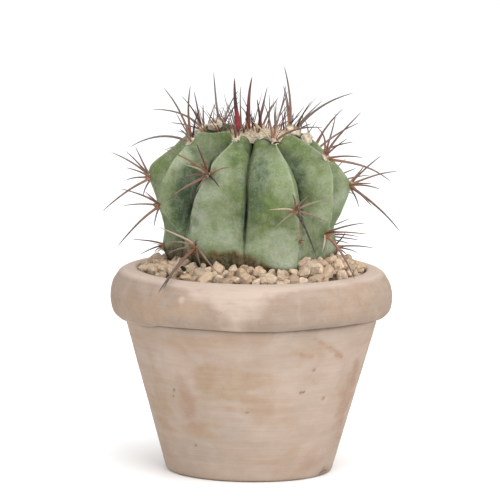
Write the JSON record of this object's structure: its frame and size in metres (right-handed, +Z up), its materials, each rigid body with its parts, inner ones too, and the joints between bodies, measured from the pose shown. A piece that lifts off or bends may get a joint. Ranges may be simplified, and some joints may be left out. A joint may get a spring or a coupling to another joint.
{
  "type": "potted barrel cactus",
  "caption": "Squat ribbed barrel cactus with woolly areoles and stout curved spines, set in gravel-dressed soil in a tapered terracotta pot with a thick rolled rim; stands free on its flat base.",
  "frame": {"origin": "centre of the pot's underside, on the surface that the pot stands on", "axes": "+Z up along the pot's axis; -Y is the side shown in the picture; +X to the right seen from the front"},
  "size_m": [0.1486, 0.1465, 0.199],
  "materials": {
    "terracotta": "matte",
    "soil": "matte",
    "gravel": "matte",
    "cactus_skin": "matte"
  },
  "bodies": {
    "root": {"pot": "terracotta", "soil": "soil", "gravel": "gravel", "cactus": "cactus_skin"}
  },
  "joints": []
}
